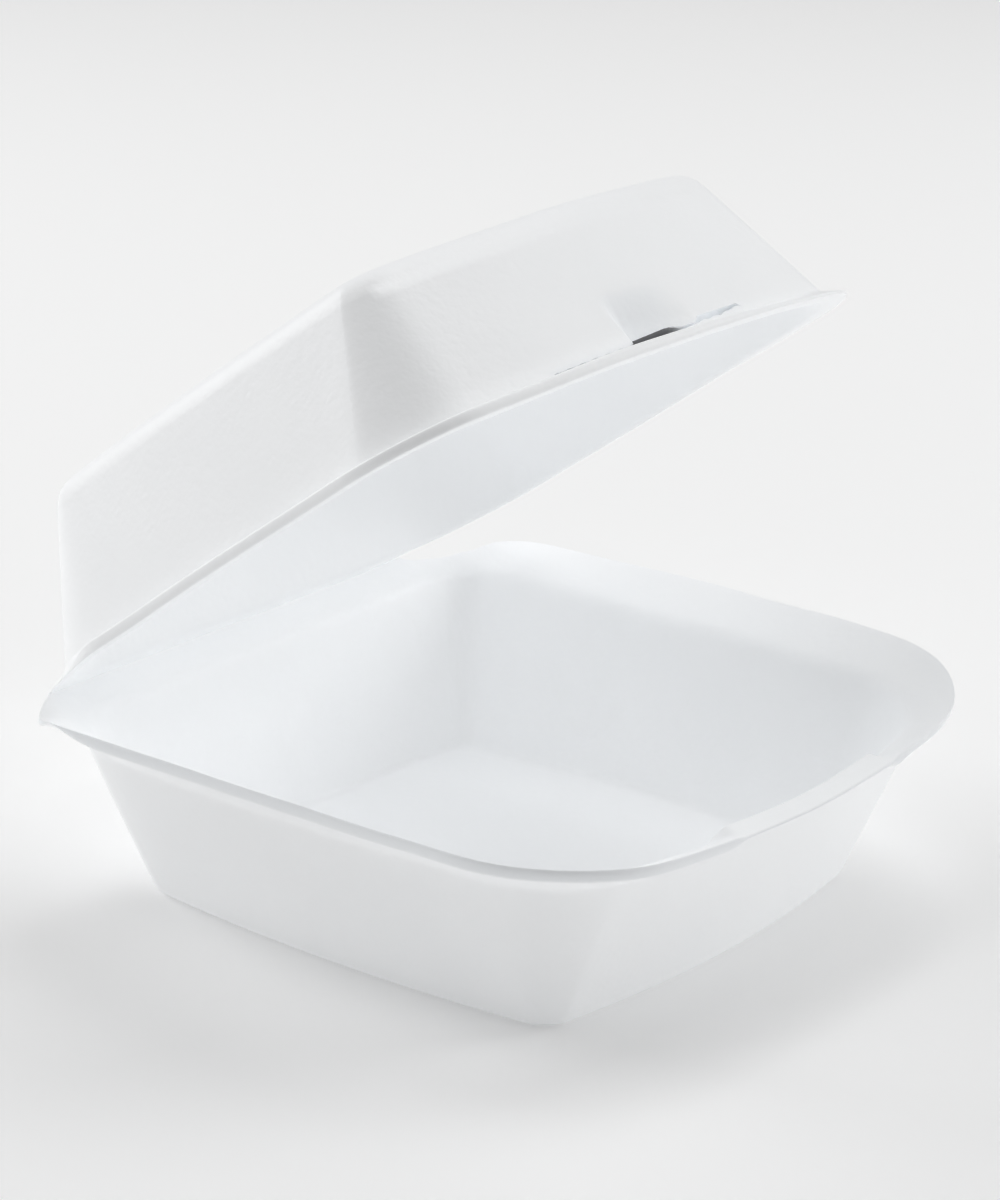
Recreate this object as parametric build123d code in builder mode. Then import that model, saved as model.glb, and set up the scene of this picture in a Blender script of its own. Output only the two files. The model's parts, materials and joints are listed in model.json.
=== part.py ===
from build123d import *
from math import atan2, cos, degrees, radians, sin, tan
import os

# A one-piece foam sandwich clamshell, standing open. Millimetres, +Z up.
# The origin is on the table under the tray. X runs along the hinge, the hinge
# is at the back (+Y), and the latch is at the front (-Y).
# On the real container the tray and the lid are one moulded sheet. It is
# divided here only at the pressed fold line, about which the lid turns.

# Foam sheet
foam_thickness = 2.3

# Tray outline at its rim, from the fold line to the front lip
hinge_y = 71.0
rim_half_width = 72.5
rim_side_bow = 4.0
rim_front_y = -71.0
rim_front_bow = 8.0
rim_front_radius = 27.0
rim_rear_radius = 12.0

# Tray section: a sloping wall up to a crease, and a flared lip above it
tray_height = 43.0
flare_width = 7.7
flare_depth = 6.6
hinge_flange_width = 4.6
crease_front_bow = 10.2
crease_side_bow = 4.7
crease_radius = 14.0

# Tray floor, and how far its edges lie inside the crease
floor_side_inset = 14.7
floor_front_inset = 13.2
floor_rear_inset = 11.3
base_front_bow = 5.4
base_side_bow = 3.5
base_radius = 5.5
base_band = 6.0
base_edge_round = 4.0
floor_edge_round = 2.4

# Fold line and the angle at which the lid stands
fold_web = 0.5
fold_gap = 0.2
lid_seat_clearance = 0.3
open_angle = 36.0

# Latch tongue, a flat ledge in the middle of the tray's front lip
tongue_width = 48.0
tongue_drop = 0.6

# Lid outline at its lip, in the lid's own plane, measured from the fold line
lid_half_width = 72.6
lid_side_bow = 1.2
lid_length = 132.5
lid_front_bow = 10.5
lid_front_radius = 21.0
lid_rear_radius = 16.0
lip_width = 3.6
lid_flange_width = 5.2

# Lid section and its top
lid_height = 37.0
lid_side_inset = 16.0
lid_front_inset = 8.5
lid_rear_inset = 13.5
lid_top_front_bow = 6.6
lid_top_side_bow = 2.4
lid_top_radius = 11.0
lid_top_round = 5.5
lid_ceiling_bevel = 2.0

# Latch in the lid: a slit over the lip, and a pressed finger recess above it
slit_clearance = 4.0
slit_height = 1.9
slot_height = 3.4
recess_width = 21.0
recess_height = 12.5
recess_depth = 1.4

# One overrun for every cutting tool
overrun = 6.0

# Worked out from the sizes above
crease_z = tray_height - flare_depth
flare_lean = atan2(flare_width, flare_depth - foam_thickness)
cut_edge = foam_thickness / sin(flare_lean)
ledge_z = tray_height - tongue_drop
lip_top = lid_seat_clearance + foam_thickness
lid_top = lid_seat_clearance + lid_height
lid_wall_height = lid_top - lip_top
tongue_reach = 2 * (rim_front_bow + flare_width)
slit_width = tongue_width + 2 * slit_clearance
lid_front_reach = lid_length + lid_front_bow + overrun

tray_leans = [
    atan2(floor_side_inset, crease_z),
    atan2(floor_front_inset, crease_z),
    atan2(floor_rear_inset, crease_z),
]
lid_leans = [
    atan2(lid_side_inset, lid_wall_height),
    atan2(lid_front_inset, lid_wall_height),
    atan2(lid_rear_inset, lid_wall_height),
]

# The lid's own plane: its z is the lid's closed "up", swung back by the opening
lid_plane = Plane(
    origin=(0, hinge_y, tray_height),
    x_dir=(1, 0, 0),
    z_dir=(0, sin(radians(open_angle)), cos(radians(open_angle))),
)
lid_up = Axis(lid_plane.origin, lid_plane.z_dir)


def skin_step(lean):
    """How far in the other face of the sheet lies at a floor or a ceiling."""
    return foam_thickness / cos(lean) - foam_thickness * tan(lean)


def crease_rise(lean):
    """How much higher than its lower face the sheet's upper face turns out."""
    half_turn = (flare_lean - lean) / 2
    return foam_thickness / cos(half_turn) * sin(lean + half_turn)


def outline(half_width, front, rear, bows, radii):
    """A bowed front, two bowed sides and a straight rear, with round corners.
    The bows are front and side, and the radii are front and rear."""
    front_bow, side_bow = bows
    middle = (front + rear) / 2
    with BuildLine() as sides:
        ThreePointArc((-half_width, front), (0, front - front_bow), (half_width, front))
        ThreePointArc((half_width, front), (half_width + side_bow, middle), (half_width, rear))
        Line((half_width, rear), (-half_width, rear))
        ThreePointArc((-half_width, rear), (-half_width - side_bow, middle), (-half_width, front))
    make_face(sides.edges())
    fillet(vertices().group_by(Axis.Y)[0], radii[0])
    fillet(vertices().group_by(Axis.Y)[-1], radii[1])


# Tray outlines


def tray_rim():
    outline(
        rim_half_width,
        rim_front_y,
        hinge_y - fold_gap,
        (rim_front_bow, rim_side_bow),
        (rim_front_radius, rim_rear_radius),
    )


def tray_wall(height, steps):
    """The tray's wall, cut level at a height. The steps are how far in its
    sides, its front and its rear move."""
    below = (crease_z - height) / crease_z
    side, front, rear = steps
    radius = crease_radius - below * (crease_radius - base_radius) - side
    outline(
        rim_half_width - flare_width - below * floor_side_inset - side,
        rim_front_y + flare_width + below * floor_front_inset + front,
        hinge_y - hinge_flange_width - below * floor_rear_inset - rear,
        (
            crease_front_bow - below * (crease_front_bow - base_front_bow),
            crease_side_bow - below * (crease_side_bow - base_side_bow),
        ),
        (radius, radius),
    )


def tub(low, high, steps=(0, 0, 0)):
    """All that the tray's wall encloses between two heights. The lowest band
    leans the same all round, so that its foot can be rounded evenly."""
    with BuildSketch(Plane.XY.offset(low)) as foot:
        tray_wall(low, steps)
    extrude(foot.sketch, amount=base_band)
    walls = faces().filter_by(Axis.Z, reverse=True)
    draft(walls, Plane.XY.offset(low), -degrees(tray_leans[0]))
    rise(high, steps)


def rise(height, steps):
    """The wall, from the top of what stands so far up to a height."""
    with BuildSketch(Plane.XY.offset(height)) as top:
        tray_wall(height, steps)
    loft([faces().sort_by(Axis.Z)[-1], top.sketch.face()], ruled=True)


def carried(height, steps=(0, 0, 0)):
    """The wall carried straight on, from a height up to the rim."""
    with BuildSketch(Plane.XY.offset(height)) as low:
        tray_wall(height, steps)
    with BuildSketch(Plane.XY.offset(tray_height)) as high:
        tray_wall(tray_height, steps)
    loft([low.sketch.face(), high.sketch.face()], ruled=True)


def flare(height):
    """The lip, from the top of the tub so far out to the rim at a height."""
    with BuildSketch(Plane.XY.offset(height)) as rim:
        tray_rim()
    loft([faces().sort_by(Axis.Z)[-1], rim.sketch.face()], ruled=True)


# Lid outlines, in the lid's own plane. A step is how far in the side, the
# front and the rear move.


def lid_rim():
    outline(
        lid_half_width,
        -lid_length,
        -fold_gap,
        (lid_front_bow, lid_side_bow),
        (lid_front_radius, lid_rear_radius),
    )


def lid_foot(step=(0, 0, 0)):
    outline(
        lid_half_width - lip_width - step[0],
        -lid_length + lip_width + step[1],
        -lid_flange_width - step[2],
        (lid_front_bow, lid_side_bow),
        (lid_front_radius - lip_width - step[0], lid_rear_radius - lip_width - step[0]),
    )


def lid_crown(step=(0, 0, 0)):
    outline(
        lid_half_width - lip_width - lid_side_inset - step[0],
        -lid_length + lip_width + lid_front_inset + step[1],
        -lid_flange_width - lid_rear_inset - step[2],
        (lid_top_front_bow, lid_top_side_bow),
        (lid_top_radius - step[0], lid_top_radius - step[0]),
    )


def front_block(width, plane, height):
    """A block across the middle of the lid's front wall, from the outside in."""
    with BuildSketch(plane) as block:
        with Locations((0, -lid_front_reach)):
            Rectangle(width, lid_front_reach / 2, align=(Align.CENTER, Align.MIN))
    extrude(block.sketch, amount=height)


lid_skin = [skin_step(lean) for lean in lid_leans]
recess_steps = [step + recess_depth for step in lid_skin]
tray_skin = [foam_thickness / cos(lean) for lean in tray_leans]
upper_crease_z = crease_z + crease_rise(tray_leans[0])

# Tray, outside: a tapering tub, a flared lip and its die-cut edge
with BuildPart() as tray_outside:
    tub(0, crease_z)
    fillet(edges().group_by(Axis.Z)[0], base_edge_round)
    flare(tray_height - cut_edge)
    with BuildSketch(Plane.XY.offset(tray_height - cut_edge)):
        tray_rim()
    extrude(amount=cut_edge)

# Tray, inside: the same walls, one sheet thickness in
with BuildPart() as tray_inside:
    tub(foam_thickness, upper_crease_z, tray_skin)
    fillet(edges().group_by(Axis.Z)[0], floor_edge_round)
    flare(tray_height)

# The tray's walls carried straight on up to the rim
with BuildPart() as inner_carried:
    carried(upper_crease_z, tray_skin)

with BuildPart() as outer_carried:
    carried(crease_z)

# Latch tongue: the front wall carried on up to a flat ledge
with BuildPart() as tongue_ledge:
    with BuildSketch(Plane.XY.offset(upper_crease_z)):
        tray_rim()
        with Locations((0, rim_front_y)):
            Rectangle(tongue_width, tongue_reach, mode=Mode.INTERSECT)
    extrude(amount=ledge_z - upper_crease_z)
    add(inner_carried.part, mode=Mode.SUBTRACT)
    add(tray_outside.part, mode=Mode.INTERSECT)

# The hollow under the ledge, outside the carried-on wall
with BuildPart() as tongue_hollow:
    with BuildSketch(Plane.XY.offset(crease_z)):
        with Locations((0, rim_front_y - rim_front_bow - overrun)):
            Rectangle(
                tongue_width - 2 * foam_thickness,
                rim_front_bow + flare_width + overrun,
                align=(Align.CENTER, Align.MIN),
            )
    extrude(amount=ledge_z - foam_thickness - crease_z)
    add(outer_carried.part, mode=Mode.SUBTRACT)

# The fold: the tray's hinge flange is pressed thin towards the fold line
with BuildPart() as tray_fold_press:
    with BuildSketch(Plane.YZ):
        with BuildLine():
            Polyline(
                (hinge_y - fold_gap, tray_height - fold_web),
                (hinge_y + overrun, tray_height - fold_web),
                (hinge_y + overrun, crease_z),
                (hinge_y - hinge_flange_width, crease_z),
                close=True,
            )
        make_face()
    extrude(amount=rim_half_width + rim_side_bow + overrun, both=True)

with BuildPart() as base_tray:
    add(tray_outside.part)
    add(tray_inside.part, mode=Mode.SUBTRACT)
    add(tongue_ledge.part)
    with BuildSketch(Plane.XY.offset(ledge_z)):
        with Locations((0, rim_front_y)):
            Rectangle(tongue_width, tongue_reach)
    extrude(amount=overrun, mode=Mode.SUBTRACT)
    add(tongue_hollow.part, mode=Mode.SUBTRACT)
    add(tray_fold_press.part, mode=Mode.SUBTRACT)

# Lid, outside: the tapering cap and its narrow flat lip
with BuildPart() as lid_outside:
    with BuildSketch(lid_plane.offset(lip_top)):
        lid_foot()
    with BuildSketch(lid_plane.offset(lid_top)):
        lid_crown()
    loft(ruled=True)
    fillet(faces().sort_by(lid_up)[-1].edges(), lid_top_round)
    with BuildSketch(lid_plane.offset(lid_seat_clearance)):
        lid_rim()
    extrude(amount=foam_thickness)

# Lid, inside
with BuildPart() as lid_inside:
    with BuildSketch(lid_plane.offset(lid_seat_clearance)):
        lid_foot(lid_skin)
    with BuildSketch(lid_plane.offset(lid_top - foam_thickness)):
        lid_crown(lid_skin)
    loft(ruled=True)
    chamfer(faces().sort_by(lid_up)[-1].edges(), lid_ceiling_bevel)

# The two faces of the front wall, each pushed in by the depth of the recess
with BuildPart() as recess_face:
    with BuildSketch(lid_plane.offset(lip_top)):
        lid_foot((recess_depth, recess_depth, recess_depth))
    with BuildSketch(lid_plane.offset(lid_top)):
        lid_crown((recess_depth, recess_depth, recess_depth))
    loft(ruled=True)

with BuildPart() as recess_back:
    with BuildSketch(lid_plane.offset(lid_seat_clearance)):
        lid_foot(recess_steps)
    with BuildSketch(lid_plane.offset(lid_top - foam_thickness)):
        lid_crown(recess_steps)
    loft(ruled=True)

with BuildPart() as recess_cut:
    front_block(recess_width, lid_plane.offset(lip_top), recess_height)
    add(recess_face.part, mode=Mode.SUBTRACT)

with BuildPart() as recess_wall:
    front_block(
        recess_width + 2 * foam_thickness,
        lid_plane.offset(lip_top),
        recess_height + foam_thickness,
    )
    add(recess_back.part, mode=Mode.SUBTRACT)
    add(lid_outside.part, mode=Mode.INTERSECT)

# The slit that takes the tongue, taller where the recess meets it
with BuildPart() as latch_slit:
    front_block(slit_width, lid_plane.offset(lip_top), slit_height)
    front_block(recess_width, lid_plane.offset(lip_top), slot_height)

with BuildPart() as lid_fold_press:
    with BuildSketch(Plane(origin=lid_plane.origin, x_dir=lid_plane.y_dir, z_dir=lid_plane.x_dir)):
        with BuildLine():
            Polyline(
                (-fold_gap, lid_seat_clearance + fold_web),
                (overrun, lid_seat_clearance + fold_web),
                (overrun, lip_top + overrun),
                (-lid_flange_width, lip_top + overrun),
                (-lid_flange_width, lip_top),
                close=True,
            )
        make_face()
    extrude(amount=lid_half_width + lid_side_bow + overrun, both=True)

with BuildPart() as lid:
    add(lid_outside.part)
    add(lid_inside.part, mode=Mode.SUBTRACT)
    add(recess_wall.part)
    add(recess_cut.part, mode=Mode.SUBTRACT)
    add(latch_slit.part, mode=Mode.SUBTRACT)
    add(lid_fold_press.part, mode=Mode.SUBTRACT)

base_tray.part.label = "base_tray"
lid.part.label = "lid"

os.makedirs("parts", exist_ok=True)
export_step(base_tray.part, "parts/base_tray.step")
export_step(lid.part, "parts/lid.step")
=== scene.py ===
import json
import math

import bmesh
import bpy
import numpy as np
from mathutils import Matrix, Vector, noise


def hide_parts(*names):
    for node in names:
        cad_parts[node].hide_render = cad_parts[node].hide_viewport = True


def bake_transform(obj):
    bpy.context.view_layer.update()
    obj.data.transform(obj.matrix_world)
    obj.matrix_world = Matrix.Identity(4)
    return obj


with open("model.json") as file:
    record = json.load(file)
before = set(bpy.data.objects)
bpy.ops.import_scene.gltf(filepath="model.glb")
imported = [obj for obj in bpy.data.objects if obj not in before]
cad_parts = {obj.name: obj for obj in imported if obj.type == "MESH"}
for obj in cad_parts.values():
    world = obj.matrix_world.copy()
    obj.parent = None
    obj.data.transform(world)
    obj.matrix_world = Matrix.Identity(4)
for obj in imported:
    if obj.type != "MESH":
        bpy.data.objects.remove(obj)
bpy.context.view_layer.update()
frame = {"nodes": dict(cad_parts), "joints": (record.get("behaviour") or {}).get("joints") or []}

# A one-piece foam clamshell, part open on a pale floor. It is one sheet with an
# outer and an inner skin, a die-cut edge round each half, and a fold between.
# Shapes are worked out in millimetres in the frame's own axes.
MM = 0.001

# The fold line and the angle between tray and lid come from the frame
hinge = frame["joints"][0]
FOLD_Y = hinge["pos_m"][1] / MM
FOLD_Z = hinge["pos_m"][2] / MM
OPEN_ANGLE = math.radians(-hinge["range_deg"][0])

# Foam sheet
THICK = 2.3
FOLD_THICK = 1.1
FOLD_LEFT = -61.0
FOLD_RIGHT = 49.0
EDGE_SOFT = 0.35

# Tray
RIM_HALF = 72.5
RIM_FRONT = -71.3
FLARE_WIDE = 7.68
FLARE_DEEP = 6.55
REAR_FLANGE_WIDE = 4.86
REAR_FLANGE_DEEP = 5.2
WALL_INSET_SIDE = 14.3
WALL_INSET_FRONT = 13.0
BASE_REAR = 55.1
FRONT_DROOP = 2.4
TONGUE_HALF = 24.0
TONGUE_DROP = 0.5
TONGUE_END = 4.0
TONGUE_THIN = 0.8

# Lid, in its own plane: x, y from the fold and height over the plane of its lip
LID_HALF = 74.4
LID_LENGTH = 131.9
LID_HEIGHT = 36.8
LIP_WIDE = 3.5
LID_INSET_SIDE = 16.6
LID_INSET_FRONT = 7.6
LID_INSET_REAR = 14.3

# Latch in the lid's front wall
RECESS_X = (-10.0, 11.0)
RECESS_TOP = 15.0
RECESS_DEPTH = 4.2
RECESS_SOFT = 3.0
SLIT_FROM, SLIT_TO = -33.0, 27.0


# Rings: how finely each one is divided, and where its divisions are shared by
# the rings of tray and lid
SHARED_HALF = 40.0
CORNER_STEPS = 12
SIDE_STEPS = 38
ROUND = (0.5523, 0.5523)
ALL_ROUND = (ROUND, ROUND, ROUND, ROUND)


def steps(low, high, count):
    """So many evenly spaced numbers, both ends included."""
    return list(np.linspace(low, high, count))


def smooth(value, low, high):
    """0 below low, 1 above high, and eased between."""
    t = np.clip((np.asarray(value, float) - low) / (high - low), 0, 1)
    return t * t * (3 - 2 * t)


def bowed(across, half, bow):
    """How far a bowed side stands out from its chord, so far from its middle."""
    if abs(bow) < 1e-6:
        return np.zeros_like(across)
    radius = (half * half + bow * bow) / (2 * abs(bow))
    rise = np.sqrt(np.maximum(radius * radius - across * across, 0)) - (radius - abs(bow))
    return rise * np.sign(bow)


def along_side(marks, low, high):
    """Places along a side that runs from low to high. Marks inside the shared
    middle keep their place, and the rest spread out to the two ends."""
    marks = np.asarray(marks, float)
    middle = SHARED_HALF
    right = middle + (marks - middle) * (high - middle) / (marks.max() - middle)
    left = -middle + (marks + middle) * (low + middle) / (marks.min() + middle)
    return np.where(marks > middle, right, np.where(marks < -middle, left, marks))


def corner(before, after, pulls):
    """A corner between the end of one side and the start of the next. A small
    pull turns sharply at its own end, and a large one softly."""
    leave = before[-1] - before[-2]
    arrive = after[1] - after[0]
    leave = leave / np.linalg.norm(leave)
    arrive = arrive / np.linalg.norm(arrive)
    gap = after[0] - before[-1]
    cross = leave[0] * arrive[1] - leave[1] * arrive[0]
    meet = before[-1] + leave * (gap[0] * arrive[1] - gap[1] * arrive[0]) / cross
    pull_a = before[-1] + (meet - before[-1]) * pulls[0]
    pull_b = after[0] + (meet - after[0]) * pulls[1]
    t = np.linspace(0, 1, CORNER_STEPS + 2)[1:-1, None]
    return (
        (1 - t) ** 3 * before[-1]
        + 3 * (1 - t) ** 2 * t * pull_a
        + 3 * (1 - t) * t * t * pull_b
        + t ** 3 * after[0]
    )


def outline(marks, half, front, rear, bows, reaches, pulls=ALL_ROUND):
    """A ring of stations: front, far side, rear, near side, with corners between.
    Bows are front, far, rear and near. Reaches say how far each corner runs
    along x and along y: front far, rear far, rear near and front near."""
    front_bow, far_bow, rear_bow, near_bow = bows
    front_far, rear_far, rear_near, front_near = reaches
    middle = (front + rear) / 2
    length = (rear - front) / 2
    front_x = along_side(marks["front"], front_near[0] - half, half - front_far[0])
    rear_x = along_side(marks["rear"], rear_near[0] - half, half - rear_far[0])[::-1]
    far_y = np.linspace(front + front_far[1], rear - rear_far[1], SIDE_STEPS)
    near_y = np.linspace(rear - rear_near[1], front + front_near[1], SIDE_STEPS)
    sides = [
        np.c_[front_x, front - bowed(front_x, half, front_bow)],
        np.c_[half + bowed(far_y - middle, length, far_bow), far_y],
        np.c_[rear_x, rear + bowed(rear_x, half, rear_bow)],
        np.c_[-half - bowed(near_y - middle, length, near_bow), near_y],
    ]
    ring = []
    for k, side in enumerate(sides):
        ring.append(side)
        ring.append(corner(side, sides[(k + 1) % 4], pulls[k]))
    return np.vstack(ring)


def at_height(ring, height):
    """A flat ring lifted to one height, or to one height for each station."""
    return np.c_[ring, np.zeros(len(ring)) + height]


def rounded(keys, setbacks, shares, turns=5):
    """Levels from the first key ring to the last: each run is divided at its
    shares, and each inner key is rounded off over its setback."""
    levels = []
    last = None
    for k in range(len(keys) - 1):
        run = keys[k + 1] - keys[k]
        length = np.linalg.norm(run, axis=1)[:, None]
        step = run / np.maximum(length, 1e-9)
        start = keys[k] + step * np.minimum(setbacks[k], length * 0.45)
        end = keys[k + 1] - step * np.minimum(setbacks[k + 1], length * 0.45)
        if last is not None:
            for t in np.linspace(0, 1, turns + 1)[1:-1]:
                levels.append((1 - t) ** 2 * last + 2 * t * (1 - t) * keys[k] + t * t * start)
        for share in shares[k]:
            levels.append(start + (end - start) * share)
        last = end
    return np.stack(levels, axis=1)


def centre(ring, height):
    """A key ring drawn in to one point, the pole of a floor or a ceiling."""
    point = np.array([0.0, ring[:, 1].mean(), height])
    return np.tile(point, (len(ring), 1))


# Tray: where its stations lie, and how its skins lie off each other
fold_marks = [FOLD_LEFT] + steps(-60, 48, 55) + [FOLD_RIGHT]
tongue_marks = [side * (TONGUE_HALF + past) for side in (-1, 1) for past in (-1, 1, 3, 5)]
tray_marks = {"front": sorted(set(steps(-46, 46, 47) + tongue_marks)), "rear": fold_marks}
crease_z = FOLD_Z - FLARE_DEEP
wall_lean = math.atan2(WALL_INSET_SIDE, crease_z)
cut_edge = THICK * 1.12
flare_lean = math.atan2(FLARE_WIDE, FLARE_DEEP - cut_edge)
floor_step = THICK / math.cos(wall_lean) - THICK * math.tan(wall_lean)
half_turn = (flare_lean - wall_lean) / 2
crease_in = THICK / math.cos(half_turn) * math.cos(wall_lean + half_turn)
crease_up = THICK / math.cos(half_turn) * math.sin(wall_lean + half_turn)


def tray_rim():
    """The die-cut edge, with its two ends of the fold at the rear corners."""
    reaches = (
        (29.0, 28.5),
        (RIM_HALF - FOLD_RIGHT, 22.0),
        (RIM_HALF + FOLD_LEFT, 15.0),
        (26.9, 26.9),
    )
    pulls = (ROUND, ROUND, (0.25, 0.5), ROUND)
    return outline(tray_marks, RIM_HALF, RIM_FRONT, FOLD_Y, (7.3, 7.84, 0, 0.82), reaches, pulls)


def tray_crease(step):
    """The ring where the wall turns out into the lip, so far in from the outer skin."""
    front_far, rear_far, near = 21.0 - step, 9.5 - step, 14.4 - step
    return outline(
        tray_marks,
        RIM_HALF - FLARE_WIDE - step,
        RIM_FRONT + FLARE_WIDE + step,
        FOLD_Y - REAR_FLANGE_WIDE - step,
        (10.0, 4.72, 0, 4.72),
        ((front_far, front_far), (rear_far, rear_far), (near, near), (near, near)),
        (ROUND, ROUND, ROUND, (0.6, 0.3)),
    )


def tray_foot(step):
    """The ring where the wall meets the floor."""
    reach = (4.4 - step * 0.6,) * 2
    return outline(
        tray_marks,
        RIM_HALF - FLARE_WIDE - WALL_INSET_SIDE - step,
        RIM_FRONT + FLARE_WIDE + WALL_INSET_FRONT + step,
        BASE_REAR - step,
        (5.4, 3.53, 2.7, 3.53),
        (reach, reach, reach, reach),
        (ROUND, ROUND, ROUND, (0.6, 0.3)),
    )


def rear_share(ring):
    """1 on the rear side of a tray ring and 0 elsewhere, eased at the corners."""
    return smooth(ring[:, 1], FOLD_Y - 25, FOLD_Y - 10)


def bump(across, along, reach_across, reach_along):
    """1 at a place, fading away over so far in two directions."""
    return np.exp(-(across / reach_across) ** 2 / 2 - (along / reach_along) ** 2 / 2)


def on_fold_line(ring):
    """Which stations of a ring lie on the fold."""
    along = (ring[:, 0] > FOLD_LEFT - 0.01) & (ring[:, 0] < FOLD_RIGHT + 0.01)
    return along & (np.abs(ring[:, 1] - FOLD_Y) < 0.01)


def bend_rear_corners(skin):
    """The bent lip at the tray's rear corners: a small ear at the left, and at
    the right an edge that sags by the fold and stands up at the corner."""
    x, y, z = skin[..., 0].copy(), skin[..., 1].copy(), skin[..., 2].copy()
    lip = smooth(z, crease_z - 1, FOLD_Z - 1)
    ear = bump(x + 70, y - 66, 3.4, 3.4) * lip
    skin[..., 0] -= 1.2 * ear
    skin[..., 2] -= 1.4 * ear
    sag = smooth(x, FOLD_RIGHT, FOLD_RIGHT + 6) * (1 - smooth(x, 63, 72))
    sag = sag * smooth(y, 50, 62) * lip
    wave = 0.35 * np.sin((x - FOLD_RIGHT) * 0.75)
    skin[..., 1] -= 1.5 * sag
    skin[..., 2] -= (1.6 + wave) * sag
    skin[..., 2] += 0.5 * bump(x - 75, y - 55, 5, 7) * lip
    skin[..., 2] += 0.1 * smooth(x, 60, 72) * smooth(y, -20, 20) * lip


def tray_skins():
    """The tray's outer and inner skin as levels of rings, from the floor's middle
    out to the die-cut edge."""
    rim = tray_rim()
    outer_crease = tray_crease(0)
    inner_crease = tray_crease(crease_in)
    rear_rise = FLARE_DEEP - REAR_FLANGE_DEEP
    outer_z = crease_z + rear_rise * rear_share(outer_crease)
    inner_z = crease_z + crease_up + rear_rise * rear_share(inner_crease)
    rim_top = at_height(rim, FOLD_Z)
    # The lip is pressed thin at the rear left ear and round the front right corner
    ear = bump(rim[:, 0] + 72, rim[:, 1] - 60, 5.0, 5.0)
    front_right = 0.35 * smooth(rim[:, 0], 26, 34) + 0.45 * smooth(rim[:, 0], 42, 56)
    front_right *= 1 - smooth(rim[:, 1], -30, 0)
    pressed = np.maximum(ear * 0.85, front_right)
    rim_low = at_height(rim, FOLD_Z - cut_edge * (1 - pressed))
    # The fold: the outer skin comes up to a thin web behind the fold line
    web = on_fold_line(rim)
    behind = OPEN_ANGLE / 2
    fold_back = np.array([0, math.cos(behind), -math.sin(behind)]) * FOLD_THICK
    rim_low = rim_low * (1 - web[:, None]) + (rim_top + fold_back) * web[:, None]
    outer_keys = [None, at_height(tray_foot(0), 0), np.c_[outer_crease, outer_z], rim_low]
    outer_keys[0] = centre(outer_keys[1], 0)
    inner_foot = at_height(tray_foot(floor_step), THICK)
    inner_keys = [None, inner_foot, np.c_[inner_crease, inner_z], rim_top]
    inner_keys[0] = centre(inner_keys[1], THICK)
    # The latch tongue: the front wall runs on up to a flat ledge
    on_front = rim[:, 1] < RIM_FRONT
    tongue = smooth(TONGUE_HALF + TONGUE_END - np.abs(rim[:, 0]), 0, TONGUE_END) * on_front
    tongue = tongue[:, None]
    ledge = FOLD_Z - TONGUE_DROP
    for keys, level, edge in (
        (outer_keys, ledge - THICK, ledge - TONGUE_THIN),
        (inner_keys, ledge, ledge),
    ):
        wall = keys[2] - keys[1]
        share = (level - keys[1][:, 2:3]) / wall[:, 2:3]
        carried = keys[1] + wall * share
        keys[2] = keys[2] * (1 - tongue) + carried * tongue
        flat = keys[3].copy()
        flat[:, 2] = edge
        keys[3] = keys[3] * (1 - tongue) + flat * tongue
    floor = [0, 0.15, 0.35, 0.55, 0.75, 0.9, 1]
    wall = steps(0, 1, 16)
    flare = [0, 0.2, 0.4, 0.6, 0.8, 0.94, 1]
    crease_set = 2.6 * (1 - 0.75 * tongue)
    outer = rounded(outer_keys, [0, 2.0, 0.6 + crease_set * 0.4, 0], [floor, wall, flare])
    inner = rounded(inner_keys, [0, 1.8, crease_set, 0], [floor, wall, flare])
    # The front lip hangs lowest in its middle
    for skin in (outer, inner):
        x, y, z = skin[..., 0] / RIM_HALF, skin[..., 1] / RIM_FRONT, skin[..., 2] / FOLD_Z
        droop = np.clip(y, 0, 1.2) ** 4 * np.clip(1 - x * x, 0, 1)
        skin[..., 2] -= FRONT_DROOP * droop * np.clip(z, 0, 1) ** 2
        bend_rear_corners(skin)
    return outer, inner


# Lid: stations are closest along the slit and at the recess's two sides
beside_slit = steps(-54, -42, 7) + steps(-40, -34, 4) + steps(30, 40, 6) + steps(42, 54, 7)
along_slit = steps(-33, 28, 62) + [-10.5, -9.5, 10.5, 11.5]
lid_marks = {"front": sorted(set(beside_slit + along_slit)), "rear": fold_marks}
lid_lean = math.atan2(LID_INSET_SIDE, LID_HEIGHT)
lid_step = THICK / math.cos(lid_lean) - THICK * math.tan(lid_lean)
SLIT_ROWS = (3.2, 3.9)
# Levels from the middle of the ceiling to the top of the wall
CROWN_LEVELS = 12


def lid_ring(inset_side, inset_front, inset_rear, bows, reaches, pulls=ALL_ROUND):
    """A ring of the lid in the lid's own plane, so far in from its full size."""
    return outline(
        lid_marks,
        LID_HALF - inset_side,
        -LID_LENGTH + inset_front,
        -inset_rear,
        bows,
        reaches,
        pulls,
    )


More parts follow.
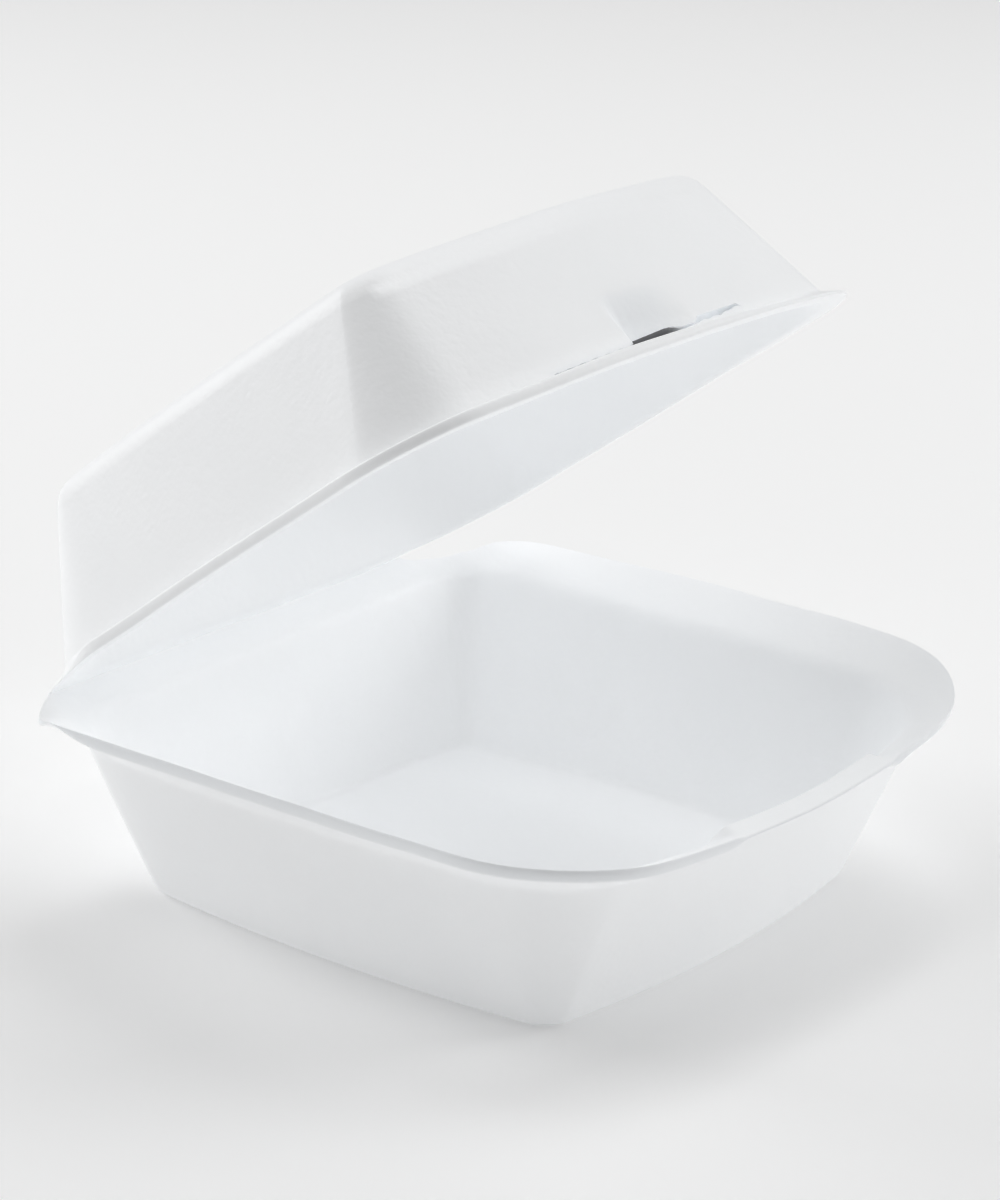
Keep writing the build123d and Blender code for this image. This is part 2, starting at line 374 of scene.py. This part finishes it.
def lid_skins():
    """The lid's two skins as levels of rings, from the ceiling's middle out to
    the die-cut edge, and the level where the slit's lower edge lies."""
    lip_bows = (9.1, 1.3, 0, 1.3)
    top_bows = (6.65, 2.5, 1.2, 2.5)
    sharp_near = (ROUND, ROUND, ROUND, (0.22, 0.7))
    left, right = LID_HALF + FOLD_LEFT, LID_HALF - FOLD_RIGHT
    rim = lid_ring(
        0, 0, 0, lip_bows,
        ((19.2, 19.2), (right, 28.0), (left, 34.0), (19.2, 19.2)),
        (ROUND, ROUND, (0.02, 0.25), ROUND),
    )
    feet = []
    for step in (0, lid_step):
        front, rear = 17.2 - step, 25.4 - step
        feet.append(lid_ring(
            LIP_WIDE + step, LIP_WIDE + step, LIP_WIDE + 1 + step, lip_bows,
            ((front, front), (rear, rear), (rear - 4, rear), (front, front - 4.5)), sharp_near,
        ))
    foot, foot_in = feet
    tops = []
    for step in (0, lid_step):
        reach = (7.5 - step * 0.6,) * 2
        tops.append(lid_ring(
            LIP_WIDE + LID_INSET_SIDE + step,
            LIP_WIDE + LID_INSET_FRONT + step,
            LIP_WIDE + LID_INSET_REAR + step,
            top_bows, (reach, reach, reach, (reach[0], reach[1] - 3.5)), sharp_near,
        ))
    # The far side's lip is a little twisted, and the lip is pressed thin by the
    # fold's left end and towards the front right corner
    twist = smooth(rim[:, 0], 30, 70) * (1.4 - 1.9 * smooth(-rim[:, 1], 50, LID_LENGTH))
    pressed = smooth(rim[:, 0], -20, 55) * smooth(-rim[:, 1], 60, 100)
    by_fold = smooth(-rim[:, 0], 56, 62) * (1 - smooth(-rim[:, 1], 16, 34))
    rim_top = at_height(rim, THICK - 1.5 * pressed - 1.8 * by_fold + twist)
    outer_keys = [None, at_height(tops[0], LID_HEIGHT), at_height(foot, THICK), rim_top]
    outer_keys[0] = centre(tops[0], LID_HEIGHT)
    ceiling = LID_HEIGHT - THICK
    inner_keys = [None, at_height(tops[1], ceiling), at_height(foot_in, 0), at_height(rim, twist)]
    inner_keys[0] = centre(tops[1], ceiling)
    over_recess = steps(32, 16.6, 8) + [15.8, 15.2, 14.6, 14, 13]
    heights = np.array(over_recess + steps(12, 5, 8) + [4.4, SLIT_ROWS[1], SLIT_ROWS[0]])
    top_run = [0, 0.15, 0.35, 0.55, 0.75, 0.9, 1]
    lip_run = [0, 0.3, 0.6, 0.9, 1]
    skins = []
    for keys, base, top, round_top, round_foot in (
        (outer_keys, THICK, LID_HEIGHT, 5.2, 0.5),
        (inner_keys, 0, ceiling, 3.0, 1.6),
    ):
        wall = keys[2] - keys[1]
        length = np.linalg.norm(wall, axis=1)
        slope = (top - base) / length
        start = top - round_top * slope
        end = base + round_foot * slope
        levels = rounded(keys, [0, round_top, round_foot, 0], [top_run, [0, 1], lip_run])
        # The wall's own levels lie at the same heights on both skins
        head = levels[:, :CROWN_LEVELS]
        tail = levels[:, CROWN_LEVELS + 1:]
        first, final = levels[:, CROWN_LEVELS - 1], levels[:, CROWN_LEVELS]
        rows = []
        for height in heights:
            share = ((start - height) / (start - end))[:, None]
            rows.append(first + (final - first) * np.clip(share, 0, 1))
        rows = np.stack(rows, axis=1)
        skins.append(np.concatenate([head, rows, final[:, None], tail], axis=1))
    return skins[0], skins[1], CROWN_LEVELS + len(heights) - 2


# The lid's front wall lies past this share of its length
FRONT_SHARE = 0.8
# The slit along the lid's front: shut, then a hole, then torn open
HOLE_X = (-10.5, 4.5)
TORN_X = (10.0, 26.0)
# The slit narrows to so much of its mouth on the inside of the lid
NOTCH_ROOT = 0.12


def ragged(x):
    """The lower and the upper edge of the latch slit, as heights over the lip."""
    hole = smooth(x, HOLE_X[0], HOLE_X[0] + 4) * (1 - smooth(x, HOLE_X[1] - 2, HOLE_X[1] + 2))
    torn = smooth(x, TORN_X[0], TORN_X[0] + 3) * (1 - smooth(x, TORN_X[1] - 6, TORN_X[1]))
    low = 2.8 + 0.1 * np.sin(x * 1.7) - 0.3 * hole
    low += 0.55 * smooth(x, 10, 14) * np.abs(np.sin(x * 0.82)) + 0.7 * smooth(x, 18, 26)
    gap = 0.22 + 0.3 * smooth(x, 3, 6) + 1.8 * hole + 1.2 * torn
    gap *= smooth(x, SLIT_FROM - 0.5, SLIT_FROM + 1) * (1 - smooth(x, SLIT_TO - 1.5, SLIT_TO + 0.2))
    return low, low + gap


def slit_shade(x):
    """How deep in shade the slit's cut walls lie: most in the hole."""
    hole = smooth(x, HOLE_X[0] - 1, HOLE_X[0] + 3) * (1 - smooth(x, HOLE_X[1] - 1, HOLE_X[1] + 4))
    torn = smooth(x, HOLE_X[1], TORN_X[0])
    return 0.55 + 0.4 * hole - 0.03 * torn * (1 - hole)


def recess_share(x):
    """The recess is deepest at its left side and runs out at its right."""
    run = np.clip((RECESS_X[1] - x) / (RECESS_X[1] - RECESS_X[0] - RECESS_SOFT), 0, 1)
    return run * smooth(x, RECESS_X[0], RECESS_X[0] + RECESS_SOFT)


def latch(outer, inner, row):
    """Presses the finger recess into both skins, and shapes the slit's edges."""
    for skin, mouth in ((outer, 1.0), (inner, NOTCH_ROOT)):
        x, y, z = skin[..., 0], skin[..., 1], skin[..., 2]
        front = y < -LID_LENGTH * FRONT_SHARE
        across = recess_share(x)
        upward = np.clip((RECESS_TOP - z) / (RECESS_TOP - 3), 0, 1)
        over_lip = smooth(z, 2.4, 3.0)
        skin[..., 1] = y + RECESS_DEPTH * across * upward * over_lip * front
        foot_row = skin[:, row + 1].copy()
        high_row = skin[:, row].copy()
        slope = (high_row - foot_row) / (high_row[:, 2:3] - foot_row[:, 2:3])
        on_slit = (foot_row[:, 0] > SLIT_FROM - 0.5) & (foot_row[:, 0] < SLIT_TO + 0.5)
        on_slit &= foot_row[:, 1] < -LID_LENGTH * FRONT_SHARE
        low, high = ragged(foot_row[:, 0])
        high = low + (high - low) * mouth
        lower = foot_row + slope * (low - foot_row[:, 2])[:, None]
        upper = high_row + slope * (high - high_row[:, 2])[:, None]
        skin[:, row + 1] = np.where(on_slit[:, None], lower, foot_row)
        skin[:, row] = np.where(on_slit[:, None], upper, high_row)
    return on_slit


def swing(skin):
    """Lid points from the lid's own plane to their place in the frame."""
    x, y, z = skin[..., 0], skin[..., 1], skin[..., 2]
    c, s = math.cos(OPEN_ANGLE), math.sin(OPEN_ANGLE)
    return np.stack([x, FOLD_Y + y * c + z * s, FOLD_Z - y * s + z * c], axis=-1)


SWAY_SHIFTS = (Vector((9.3, -1.5, -8.0)), Vector((0.2, 0.3, 0.1)), Vector((6.3, 0.2, -2.7)))


def sway(point):
    """Three smooth values at a point, one for each axis."""
    return np.array([noise.noise(point + shift) for shift in SWAY_SHIFTS])


def ripple(skin):
    """The sheet's own slight unevenness, the same through its thickness."""
    flat = skin.reshape(-1, 3)
    for k, point in enumerate(flat):
        p = Vector(point * 0.045)
        q = Vector(point * 0.016) + Vector((7, 3, 5))
        push = sway(p) * 0.16 + sway(q) * 0.45
        hold = min(1.0, max(0.0, point[2] / 8.0))
        near_fold = math.hypot(point[1] - FOLD_Y, point[2] - FOLD_Z)
        hold *= min(1.0, near_fold / 6.0)
        flat[k] = point + push * hold
    return flat.reshape(skin.shape)


# Painted shade: how dark the tray's die-cut edge and the recess face are painted, for the shade that
# falls on them
EDGE_PAINTED_SHADE = 0.5
RECESS_PAINTED_SHADE = 0.45


class Sheet:
    """Gathers the points and faces of one mesh."""

    def __init__(self):
        self.points = []
        self.faces = []

    def add(self, grid):
        """Adds a grid of points and gives their indices in the same shape."""
        start = len(self.points)
        shape = grid.shape[:-1]
        self.points.extend(grid.reshape(-1, 3).tolist())
        return np.arange(start, start + int(np.prod(shape))).reshape(shape)

    def skin(self, grid, open_at=None, open_level=None):
        """Index grid of one skin, whose first level is one pole. The faces of
        one level stay open between the stations of a slit."""
        index = self.add(grid[:, 1:])
        pole = self.add(grid[:1, 0].reshape(1, 3))[0]
        count, levels = index.shape
        for i in range(count):
            j = (i + 1) % count
            self.faces.append((pole, index[i, 0], index[j, 0]))
            for m in range(levels - 1):
                if m == open_level and open_at[i] and open_at[j]:
                    continue
                self.faces.append((index[i, m], index[i, m + 1], index[j, m + 1], index[j, m]))
        return index


def edge_levels(outer, inner):
    """Three points across the die-cut edge, standing a little proud of it."""
    ring_out, ring_in = outer[:, -1], inner[:, -1]
    before = (outer[:, -2] + inner[:, -2]) / 2
    away = (ring_out + ring_in) / 2 - before
    away = away / np.linalg.norm(away, axis=1)[:, None]
    rows = []
    for share, proud in ((0.14, 0.8), (0.5, 1.0), (0.86, 0.8)):
        rows.append(ring_out + (ring_in - ring_out) * share + away * EDGE_SOFT * proud)
    return np.stack(rows, axis=1)


def build_clamshell():
    """The whole sheet as one closed mesh."""
    tray_out, tray_in = tray_skins()
    lid_out, lid_in, slit_row = lid_skins()
    on_slit = latch(lid_out, lid_in, slit_row)
    lid_flat = lid_out
    lid_out, lid_in = swing(lid_out), swing(lid_in)

    tray_fold = np.where(on_fold_line(tray_in[:, -1]))[0]
    lid_fold = np.where(on_fold_line(lid_in[:, -1]))[0]
    pairs = {}
    for i in lid_fold:
        x = lid_in[i, -1, 0]
        pairs[i] = tray_fold[np.argmin(np.abs(tray_in[tray_fold, -1, 0] - x))]
    for i, j in pairs.items():
        lid_in[i, -1] = tray_in[j, -1]
        lid_out[i, -1] = tray_out[j, -1]
    tray_out, tray_in = ripple(tray_out), ripple(tray_in)
    lid_out, lid_in = ripple(lid_out), ripple(lid_in)
    tray_edge = edge_levels(tray_out, tray_in)
    lid_edge = edge_levels(lid_out, lid_in)

    # The pole of a skin isn't one of its own levels, so the slit lies one lower
    row = slit_row - 1
    sheet = Sheet()
    t_out, t_in = sheet.skin(tray_out), sheet.skin(tray_in)
    t_edge = sheet.add(tray_edge)
    l_out, l_in = sheet.skin(lid_out, on_slit, row), sheet.skin(lid_in, on_slit, row)
    l_edge = sheet.add(lid_edge)

    # One sheet: the lid's ring at the fold is the tray's
    same = {}
    for i, j in pairs.items():
        for a, b in ((l_out[i, -1], t_out[j, -1]), (l_in[i, -1], t_in[j, -1])):
            same[a] = b
        for m in range(3):
            same[l_edge[i, m]] = t_edge[j, m]

    def band(outer, inner, edge, fold):
        inside = set(int(i) for i in fold)
        count = len(outer)
        for i in range(count):
            j = (i + 1) % count
            if i in inside and j in inside:
                continue
            columns = []
            for k in (i, j):
                columns.append([outer[k, -1], edge[k, 0], edge[k, 1], edge[k, 2], inner[k, -1]])
            for m in range(4):
                sheet.faces.append((columns[0][m], columns[0][m + 1], columns[1][m + 1], columns[1][m]))

    band(t_out, t_in, t_edge, [pairs[i] for i in lid_fold])
    band(l_out, l_in, l_edge, lid_fold)

    # The slit's own walls, through the sheet
    slit = np.where(on_slit)[0]
    for i, j in zip(slit[:-1], slit[1:]):
        sheet.faces.append((l_out[i, row], l_out[j, row], l_in[j, row], l_in[i, row]))
        lower = row + 1
        sheet.faces.append((l_out[i, lower], l_out[j, lower], l_in[j, lower], l_in[i, lower]))
    for i in (slit[0], slit[-1]):
        sheet.faces.append((l_out[i, row], l_out[i, row + 1], l_in[i, row + 1], l_in[i, row]))

    # Shared points take the place of doubled ones, and collapsed faces go
    faces = []
    for face in sheet.faces:
        mended = []
        for p in face:
            p = same.get(p, p)
            if p not in mended:
                mended.append(int(p))
        if len(mended) > 2:
            faces.append(mended)
    mesh = bpy.data.meshes.new("clamshell")
    mesh.from_pydata([Vector(p) * MM for p in sheet.points], [], faces)
    # Painted shade, darker on the tray's die-cut edge, on the recess face and on the slit's walls,
    # where shade falls
    painted_shade = np.zeros(len(sheet.points), np.float32)
    painted_shade[t_edge] = EDGE_PAINTED_SHADE
    x, z = lid_flat[:, 1:, 0], lid_flat[:, 1:, 2]
    on_recess = recess_share(x) * smooth(RECESS_TOP - z, 0, 3) * smooth(z, 2.4, 3.0)
    front = lid_flat[:, 1:, 1] < -LID_LENGTH * FRONT_SHARE
    painted_shade[l_out] = RECESS_PAINTED_SHADE * np.minimum(on_recess * 2.5, 1) * front
    for skin, index in ((lid_out, l_out), (lid_in, l_in)):
        painted_shade[index[slit, row:row + 2]] = slit_shade(skin[slit, -1, 0])[:, None]
    mesh.attributes.new("painted_shade", "FLOAT", "POINT").data.foreach_set("value", painted_shade)
    work = bmesh.new()
    work.from_mesh(mesh)
    loose = [v for v in work.verts if not v.link_faces]
    bmesh.ops.delete(work, geom=loose, context="VERTS")
    bmesh.ops.recalc_face_normals(work, faces=work.faces)
    work.to_mesh(mesh)
    work.free()
    mesh.shade_smooth()
    mesh.set_sharp_from_angle(angle=math.radians(66))
    piece = bpy.data.objects.new("clamshell", mesh)
    bpy.context.scene.collection.objects.link(piece)
    return piece


# Materials
def node_material(name):
    material = bpy.data.materials.new(name)
    material.use_nodes = True
    tree = material.node_tree
    return material, tree, tree.nodes["Principled BSDF"]


def foam_material():
    material, tree, shader = node_material("foam")
    nodes, links = tree.nodes, tree.links
    shader.inputs["Roughness"].default_value = 0.42
    shader.inputs["IOR"].default_value = 1.42
    shader.inputs["Specular IOR Level"].default_value = 0.45
    place = nodes.new("ShaderNodeTexCoord")
    mottle = nodes.new("ShaderNodeTexNoise")
    mottle.inputs["Scale"].default_value = 60.0
    mottle.inputs["Detail"].default_value = 1.0
    ramp = nodes.new("ShaderNodeValToRGB")
    ramp.color_ramp.elements[0].position = 0.3
    ramp.color_ramp.elements[0].color = (0.945, 0.955, 0.965, 1)
    ramp.color_ramp.elements[1].position = 0.7
    ramp.color_ramp.elements[1].color = (0.958, 0.967, 0.976, 1)
    links.new(place.outputs["Object"], mottle.inputs["Vector"])
    links.new(mottle.outputs["Fac"], ramp.inputs["Fac"])
    painted_shade = nodes.new("ShaderNodeAttribute")
    painted_shade.attribute_name = "painted_shade"
    # Painted shade: the higher the mark, the darker the foam's colour, down to near black in the slit's
    # hole
    painted_shade_ramp = nodes.new("ShaderNodeValToRGB")
    painted_shade_ramp.color_ramp.elements[0].color = (1, 1, 1, 1)
    painted_shade_ramp.color_ramp.elements[1].color = (0.12, 0.12, 0.125, 1)
    painted_shade_ramp.color_ramp.elements.new(EDGE_PAINTED_SHADE).color = (0.93, 0.94, 0.95, 1)
    shade = nodes.new("ShaderNodeMix")
    shade.data_type = "RGBA"
    shade.blend_type = "MULTIPLY"
    shade.inputs["Factor"].default_value = 1.0
    links.new(painted_shade.outputs["Fac"], painted_shade_ramp.inputs["Fac"])
    links.new(ramp.outputs["Color"], shade.inputs["A"])
    links.new(painted_shade_ramp.outputs["Color"], shade.inputs["B"])
    links.new(shade.outputs["Result"], shader.inputs["Base Color"])
    # Painted light: a faint glow over all the foam, standing in for the light that thin foam lets
    # through to its other side and lifting its shaded parts; it follows the colour, so the painted
    # shade darkens it too
    links.new(shade.outputs["Result"], shader.inputs["Emission Color"])
    shader.inputs["Emission Strength"].default_value = 0.14
    peel = nodes.new("ShaderNodeTexNoise")
    peel.inputs["Scale"].default_value = 620.0
    peel.inputs["Detail"].default_value = 1.5
    links.new(place.outputs["Object"], peel.inputs["Vector"])
    bumps = nodes.new("ShaderNodeBump")
    bumps.inputs["Strength"].default_value = 0.16
    bumps.inputs["Distance"].default_value = 0.0006
    links.new(peel.outputs["Fac"], bumps.inputs["Height"])
    links.new(bumps.outputs["Normal"], shader.inputs["Normal"])
    return material


def floor_material():
    material, tree, shader = node_material("floor")
    nodes, links = tree.nodes, tree.links
    shader.inputs["Roughness"].default_value = 0.9
    shader.inputs["Specular IOR Level"].default_value = 0.1
    shader.inputs["Emission Color"].default_value = (1, 1, 1, 1)
    shader.inputs["Emission Strength"].default_value = 0.07
    place = nodes.new("ShaderNodeTexCoord")
    cloud = nodes.new("ShaderNodeTexNoise")
    cloud.inputs["Scale"].default_value = 1.5
    ramp = nodes.new("ShaderNodeValToRGB")
    ramp.color_ramp.elements[0].color = (0.95, 0.95, 0.95, 1)
    ramp.color_ramp.elements[1].color = (0.96, 0.96, 0.96, 1)
    links.new(place.outputs["Object"], cloud.inputs["Vector"])
    links.new(cloud.outputs["Fac"], ramp.inputs["Fac"])
    links.new(ramp.outputs["Color"], shader.inputs["Base Color"])
    return material


# Floor
FLOOR_HALF = 4.0


def build_floor():
    mesh = bpy.data.meshes.new("floor")
    corners = [(x * FLOOR_HALF, y * FLOOR_HALF, 0) for x, y in ((-1, -1), (1, -1), (1, 1), (-1, 1))]
    mesh.from_pydata(corners, [], [(0, 1, 2, 3)])
    floor = bpy.data.objects.new("floor", mesh)
    bpy.context.scene.collection.objects.link(floor)
    floor.data.materials.append(floor_material())
    return floor


# Lights: soft boxes all round, each aimed at the container from the same
# distance. Azimuth is 0 at the container's front and grows towards its right.
LIGHT_AIM = Vector((0, 0, 0.06))
LIGHT_AWAY = 1.8
SOFT_BOXES = {
    "back_left_box": (-171, 20, 0.9, 11),
    "left_box": (-126, 20, 0.9, 3.5),
    "front_box": (9, 20, 0.9, 3),
    "right_box": (54, 20, 0.9, 9),
    "high_front_box": (0, 62, 1.1, 1.5),
    "high_right_box": (90, 62, 1.1, 9),
    "high_back_box": (135, 62, 1.1, 4),
    "high_left_box": (-135, 62, 1.1, 6.5),
}


def soft_box(name, azimuth, rise, size, power):
    data = bpy.data.lights.new(name, "AREA")
    data.size = size
    data.energy = power
    turn, tilt = math.radians(azimuth), math.radians(rise)
    way = Vector((math.sin(turn) * math.cos(tilt), -math.cos(turn) * math.cos(tilt), math.sin(tilt)))
    lamp = bpy.data.objects.new(name, data)
    lamp.location = LIGHT_AIM + way * LIGHT_AWAY
    lamp.rotation_euler = (-way).to_track_quat("-Z", "Y").to_euler()
    bpy.context.scene.collection.objects.link(lamp)


def build_lights():
    for name, values in SOFT_BOXES.items():
        soft_box(name, *values)
    world = bpy.data.worlds.new("studio")
    world.use_nodes = True
    back = world.node_tree.nodes["Background"]
    back.inputs["Color"].default_value = (0.96, 0.98, 1.0, 1)
    back.inputs["Strength"].default_value = 0.03
    bpy.context.scene.world = world
    bpy.context.scene.view_settings.view_transform = "Standard"


# Camera, at the photograph's angle
CAMERA_PLACE = Vector((-0.60047, -0.48337, 0.33754))
CAMERA_AIM = Vector((0.04838, 0.04175, 0.04))
CAMERA_ROLL = -0.00548
CAMERA_LENS = 144.44


def build_camera():
    data = bpy.data.cameras.new("camera")
    data.sensor_fit = "HORIZONTAL"
    data.sensor_width = 36.0
    data.lens = CAMERA_LENS
    data.clip_start = 0.05
    data.clip_end = 50.0
    camera = bpy.data.objects.new("camera", data)
    turn = (CAMERA_AIM - CAMERA_PLACE).to_track_quat("-Z", "Y").to_matrix().to_4x4()
    roll = Matrix.Rotation(-CAMERA_ROLL, 4, "Z")
    camera.matrix_world = Matrix.Translation(CAMERA_PLACE) @ turn @ roll
    bpy.context.scene.collection.objects.link(camera)
    bpy.context.scene.camera = camera


# Assembly: the one sheet replaces both solids, and bends at the fold
foam = foam_material()
clamshell = build_clamshell()
clamshell.data.materials.append(foam)
for node in frame["nodes"].values():
    for place in node.material_slots:
        place.material = foam
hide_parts("base_tray", "lid")
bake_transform(clamshell)
build_floor()
build_lights()
build_camera()
